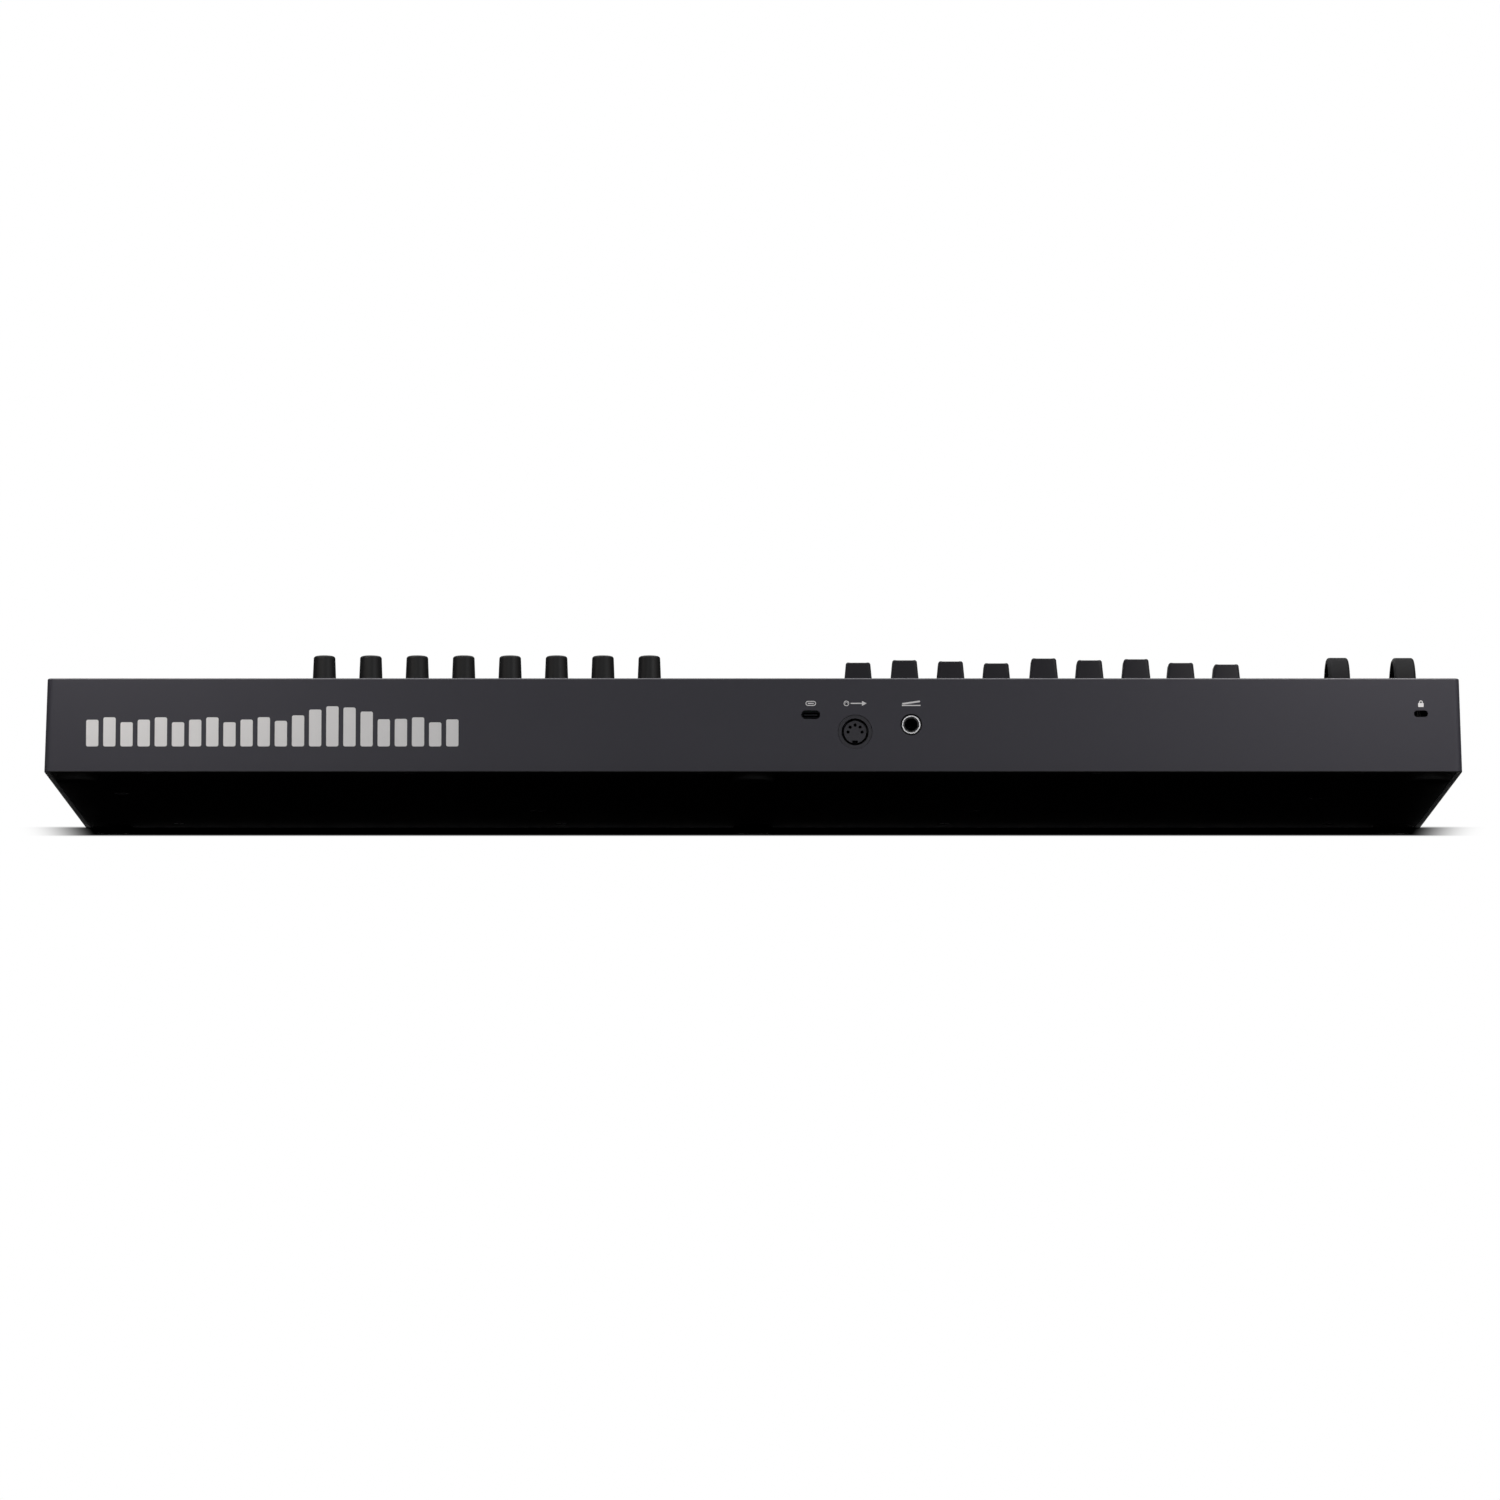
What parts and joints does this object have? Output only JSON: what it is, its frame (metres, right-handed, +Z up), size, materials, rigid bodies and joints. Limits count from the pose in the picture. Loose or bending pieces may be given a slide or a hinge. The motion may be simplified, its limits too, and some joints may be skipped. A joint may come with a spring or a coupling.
{
  "type": "keyboard controller",
  "caption": "Compact music keyboard controller with sprung keys, finger pads, turning knobs, sliding faders, two wheels and a socket wall along the back.",
  "frame": {"origin": "under the middle of the case, on the surface that the feet stand on", "axes": "+X to the player's right along the keys, -Y towards the player, +Y towards the socket wall, +Z up"},
  "size_m": [0.7, 0.264, 0.0654],
  "materials": {
    "case_plastic": "fine satin texture",
    "base_plastic": "matt black",
    "foot_rubber": "matt",
    "screw_steel": "black zinc",
    "frame_plastic": "matt",
    "rod_steel": "ground",
    "felt": "felt",
    "spring_steel": "drawn wire",
    "board_laminate": "solder mask",
    "contact_rubber": "silicone",
    "unit_metal": "plated",
    "display_panel": "dark panel",
    "window_plastic": "smoked gloss",
    "socket_metal": "plated",
    "socket_plastic": "moulded",
    "cable_plastic": "flat cable",
    "white_key_plastic": "semi-gloss",
    "black_key_plastic": "satin",
    "knob_rubber": "soft touch",
    "fader_plastic": "satin",
    "wheel_rubber": "soft touch",
    "pad_rubber": "silicone",
    "button_rubber": "silicone"
  },
  "bodies": {
    "case": {"top_case": "case_plastic", "bottom_case": "base_plastic", "rubber_feet": "foot_rubber", "case_screws": "screw_steel", "key_frame": "frame_plastic", "key_pivot_rod": "rod_steel", "key_felts": "felt", "key_springs": "spring_steel", "key_contact_board": "board_laminate", "key_contact_strip": "contact_rubber", "control_board": "board_laminate", "fader_units": "unit_metal", "encoder_units": "unit_metal", "display_module": "display_panel", "display_window": "window_plastic", "main_board": "board_laminate", "usb_socket": "socket_metal", "midi_socket": "socket_plastic", "sustain_jack": "socket_plastic", "wheel_cradles": "frame_plastic", "wheel_spring": "spring_steel", "ribbon_cables": "cable_plastic", "board_screws": "screw_steel"},
    "keys_c": {"keys_c": "white_key_plastic"},
    "keys_c_sharp": {"keys_c_sharp": "black_key_plastic"},
    "keys_d": {"keys_d": "white_key_plastic"},
    "keys_d_sharp": {"keys_d_sharp": "black_key_plastic"},
    "keys_e": {"keys_e": "white_key_plastic"},
    "keys_f": {"keys_f": "white_key_plastic"},
    "keys_f_sharp": {"keys_f_sharp": "black_key_plastic"},
    "keys_g": {"keys_g": "white_key_plastic"},
    "keys_g_sharp": {"keys_g_sharp": "black_key_plastic"},
    "keys_a": {"keys_a": "white_key_plastic"},
    "keys_a_sharp": {"keys_a_sharp": "black_key_plastic"},
    "keys_b": {"keys_b": "white_key_plastic"},
    "knob_1": {"knob_1": "knob_rubber"},
    "knob_2": {"knob_2": "knob_rubber"},
    "knob_3": {"knob_3": "knob_rubber"},
    "knob_4": {"knob_4": "knob_rubber"},
    "knob_5": {"knob_5": "knob_rubber"},
    "knob_6": {"knob_6": "knob_rubber"},
    "knob_7": {"knob_7": "knob_rubber"},
    "knob_8": {"knob_8": "knob_rubber"},
    "fader_1": {"fader_1": "fader_plastic"},
    "fader_2": {"fader_2": "fader_plastic"},
    "fader_3": {"fader_3": "fader_plastic"},
    "fader_4": {"fader_4": "fader_plastic"},
    "fader_5": {"fader_5": "fader_plastic"},
    "fader_6": {"fader_6": "fader_plastic"},
    "fader_7": {"fader_7": "fader_plastic"},
    "fader_8": {"fader_8": "fader_plastic"},
    "fader_9": {"fader_9": "fader_plastic"},
    "pitch_wheel": {"pitch_wheel": "wheel_rubber"},
    "mod_wheel": {"mod_wheel": "wheel_rubber"},
    "pads_upper": {"pads_upper": "pad_rubber"},
    "pads_lower": {"pads_lower": "pad_rubber"},
    "fader_buttons": {"fader_buttons": "button_rubber"},
    "transport_buttons": {"transport_buttons": "button_rubber"},
    "navigation_buttons": {"navigation_buttons": "button_rubber"},
    "octave_buttons": {"octave_buttons": "button_rubber"}
  },
  "joints": [
    {"name": "keys_c_pivot", "type": "hinge", "parent": "case", "child": "keys_c", "pos_m": [0, 0.04, 0.0304], "axis": [1, 0, 0], "range_deg": [0, 3.4], "stiffness_Nm_per_rad": 4, "springref_deg": -6.3},
    {"name": "keys_c_sharp_pivot", "type": "hinge", "parent": "case", "child": "keys_c_sharp", "pos_m": [0, 0.04, 0.0304], "axis": [1, 0, 0], "range_deg": [0, 3.4], "stiffness_Nm_per_rad": 4, "springref_deg": -6.3},
    {"name": "keys_d_pivot", "type": "hinge", "parent": "case", "child": "keys_d", "pos_m": [0, 0.04, 0.0304], "axis": [1, 0, 0], "range_deg": [0, 3.4], "stiffness_Nm_per_rad": 4, "springref_deg": -6.3},
    {"name": "keys_d_sharp_pivot", "type": "hinge", "parent": "case", "child": "keys_d_sharp", "pos_m": [0, 0.04, 0.0304], "axis": [1, 0, 0], "range_deg": [0, 3.4], "stiffness_Nm_per_rad": 4, "springref_deg": -6.3},
    {"name": "keys_e_pivot", "type": "hinge", "parent": "case", "child": "keys_e", "pos_m": [0, 0.04, 0.0304], "axis": [1, 0, 0], "range_deg": [0, 3.4], "stiffness_Nm_per_rad": 4, "springref_deg": -6.3},
    {"name": "keys_f_pivot", "type": "hinge", "parent": "case", "child": "keys_f", "pos_m": [0, 0.04, 0.0304], "axis": [1, 0, 0], "range_deg": [0, 3.4], "stiffness_Nm_per_rad": 4, "springref_deg": -6.3},
    {"name": "keys_f_sharp_pivot", "type": "hinge", "parent": "case", "child": "keys_f_sharp", "pos_m": [0, 0.04, 0.0304], "axis": [1, 0, 0], "range_deg": [0, 3.4], "stiffness_Nm_per_rad": 4, "springref_deg": -6.3},
    {"name": "keys_g_pivot", "type": "hinge", "parent": "case", "child": "keys_g", "pos_m": [0, 0.04, 0.0304], "axis": [1, 0, 0], "range_deg": [0, 3.4], "stiffness_Nm_per_rad": 4, "springref_deg": -6.3},
    {"name": "keys_g_sharp_pivot", "type": "hinge", "parent": "case", "child": "keys_g_sharp", "pos_m": [0, 0.04, 0.0304], "axis": [1, 0, 0], "range_deg": [0, 3.4], "stiffness_Nm_per_rad": 4, "springref_deg": -6.3},
    {"name": "keys_a_pivot", "type": "hinge", "parent": "case", "child": "keys_a", "pos_m": [0, 0.04, 0.0304], "axis": [1, 0, 0], "range_deg": [0, 3.4], "stiffness_Nm_per_rad": 4, "springref_deg": -6.3},
    {"name": "keys_a_sharp_pivot", "type": "hinge", "parent": "case", "child": "keys_a_sharp", "pos_m": [0, 0.04, 0.0304], "axis": [1, 0, 0], "range_deg": [0, 3.4], "stiffness_Nm_per_rad": 4, "springref_deg": -6.3},
    {"name": "keys_b_pivot", "type": "hinge", "parent": "case", "child": "keys_b", "pos_m": [0, 0.04, 0.0304], "axis": [1, 0, 0], "range_deg": [0, 3.4], "stiffness_Nm_per_rad": 4, "springref_deg": -6.3},
    {"name": "knob_1_turn", "type": "hinge", "parent": "case", "child": "knob_1", "pos_m": [0.0517, 0.102, 0.055], "axis": [0, 0, 1], "continuous": true},
    {"name": "knob_2_turn", "type": "hinge", "parent": "case", "child": "knob_2", "pos_m": [0.0748, 0.102, 0.055], "axis": [0, 0, 1], "continuous": true},
    {"name": "knob_3_turn", "type": "hinge", "parent": "case", "child": "knob_3", "pos_m": [0.0979, 0.102, 0.055], "axis": [0, 0, 1], "continuous": true},
    {"name": "knob_4_turn", "type": "hinge", "parent": "case", "child": "knob_4", "pos_m": [0.121, 0.102, 0.055], "axis": [0, 0, 1], "continuous": true},
    {"name": "knob_5_turn", "type": "hinge", "parent": "case", "child": "knob_5", "pos_m": [0.1441, 0.102, 0.055], "axis": [0, 0, 1], "continuous": true},
    {"name": "knob_6_turn", "type": "hinge", "parent": "case", "child": "knob_6", "pos_m": [0.1672, 0.102, 0.055], "axis": [0, 0, 1], "continuous": true},
    {"name": "knob_7_turn", "type": "hinge", "parent": "case", "child": "knob_7", "pos_m": [0.1903, 0.102, 0.055], "axis": [0, 0, 1], "continuous": true},
    {"name": "knob_8_turn", "type": "hinge", "parent": "case", "child": "knob_8", "pos_m": [0.2134, 0.102, 0.055], "axis": [0, 0, 1], "continuous": true},
    {"name": "fader_1_slide", "type": "slide", "parent": "case", "child": "fader_1", "axis": [0, 1, 0], "range_m": [-0.015, 0.03]},
    {"name": "fader_2_slide", "type": "slide", "parent": "case", "child": "fader_2", "axis": [0, 1, 0], "range_m": [-0.0245, 0.0205]},
    {"name": "fader_3_slide", "type": "slide", "parent": "case", "child": "fader_3", "axis": [0, 1, 0], "range_m": [-0.02, 0.025]},
    {"name": "fader_4_slide", "type": "slide", "parent": "case", "child": "fader_4", "axis": [0, 1, 0], "range_m": [-0.0125, 0.0325]},
    {"name": "fader_5_slide", "type": "slide", "parent": "case", "child": "fader_5", "axis": [0, 1, 0], "range_m": [-0.0315, 0.0135]},
    {"name": "fader_6_slide", "type": "slide", "parent": "case", "child": "fader_6", "axis": [0, 1, 0], "range_m": [-0.0245, 0.0205]},
    {"name": "fader_7_slide", "type": "slide", "parent": "case", "child": "fader_7", "axis": [0, 1, 0], "range_m": [-0.0285, 0.0165]},
    {"name": "fader_8_slide", "type": "slide", "parent": "case", "child": "fader_8", "axis": [0, 1, 0], "range_m": [-0.014, 0.031]},
    {"name": "fader_9_slide", "type": "slide", "parent": "case", "child": "fader_9", "axis": [0, 1, 0], "range_m": [-0.008, 0.037]},
    {"name": "pitch_wheel_turn", "type": "hinge", "parent": "case", "child": "pitch_wheel", "pos_m": [-0.3242, 0.087, 0.0414], "axis": [1, 0, 0], "range_deg": [-35, 35], "stiffness_Nm_per_rad": 0.2},
    {"name": "mod_wheel_turn", "type": "hinge", "parent": "case", "child": "mod_wheel", "pos_m": [-0.2915, 0.087, 0.0414], "axis": [1, 0, 0], "range_deg": [-80, 0]},
    {"name": "pads_upper_press", "type": "slide", "parent": "case", "child": "pads_upper", "axis": [0, 0, -1], "range_m": [0, 0.0008], "stiffness_N_per_m": 4000, "springref_m": -0.001},
    {"name": "pads_lower_press", "type": "slide", "parent": "case", "child": "pads_lower", "axis": [0, 0, -1], "range_m": [0, 0.0008], "stiffness_N_per_m": 4000, "springref_m": -0.001},
    {"name": "fader_buttons_press", "type": "slide", "parent": "case", "child": "fader_buttons", "axis": [0, 0, -1], "range_m": [0, 0.0008], "stiffness_N_per_m": 2500, "springref_m": -0.001},
    {"name": "transport_buttons_press", "type": "slide", "parent": "case", "child": "transport_buttons", "axis": [0, 0, -1], "range_m": [0, 0.0008], "stiffness_N_per_m": 2500, "springref_m": -0.001},
    {"name": "navigation_buttons_press", "type": "slide", "parent": "case", "child": "navigation_buttons", "axis": [0, 0, -1], "range_m": [0, 0.0008], "stiffness_N_per_m": 2500, "springref_m": -0.001},
    {"name": "octave_buttons_press", "type": "slide", "parent": "case", "child": "octave_buttons", "axis": [0, 0, -1], "range_m": [0, 0.0008], "stiffness_N_per_m": 2500, "springref_m": -0.001}
  ]
}
